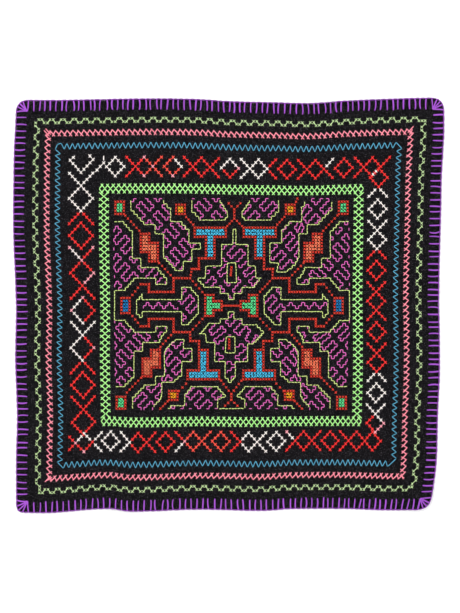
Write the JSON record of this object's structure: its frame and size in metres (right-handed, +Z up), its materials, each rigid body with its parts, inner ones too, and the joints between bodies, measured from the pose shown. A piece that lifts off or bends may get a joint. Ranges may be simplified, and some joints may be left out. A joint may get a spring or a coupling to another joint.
{
  "type": "embroidered cloth",
  "caption": "Square of black cotton cloth with bright geometric embroidery in bands around a centre panel, edged in blanket stitch, lying flat face up.",
  "frame": {"origin": "middle of the bounding box, on the surface that the cloth lies on", "axes": "+Z up out of the worked face, +X to the right of the design, +Y towards its top edge"},
  "size_m": [0.3646, 0.3512, 0.0034],
  "materials": {
    "cloth": "matt black plain-woven cotton",
    "thread_purple": "soft purple embroidery yarn",
    "thread_lime": "soft lime embroidery thread",
    "thread_pink": "soft pink embroidery thread",
    "thread_magenta": "soft magenta embroidery thread",
    "thread_blue": "soft blue embroidery thread",
    "thread_green": "soft green embroidery thread",
    "thread_red": "soft red embroidery thread",
    "thread_white": "soft white embroidery thread",
    "thread_orange": "soft orange embroidery thread"
  },
  "bodies": {
    "root": {"cloth": "cloth"}
  },
  "joints": []
}
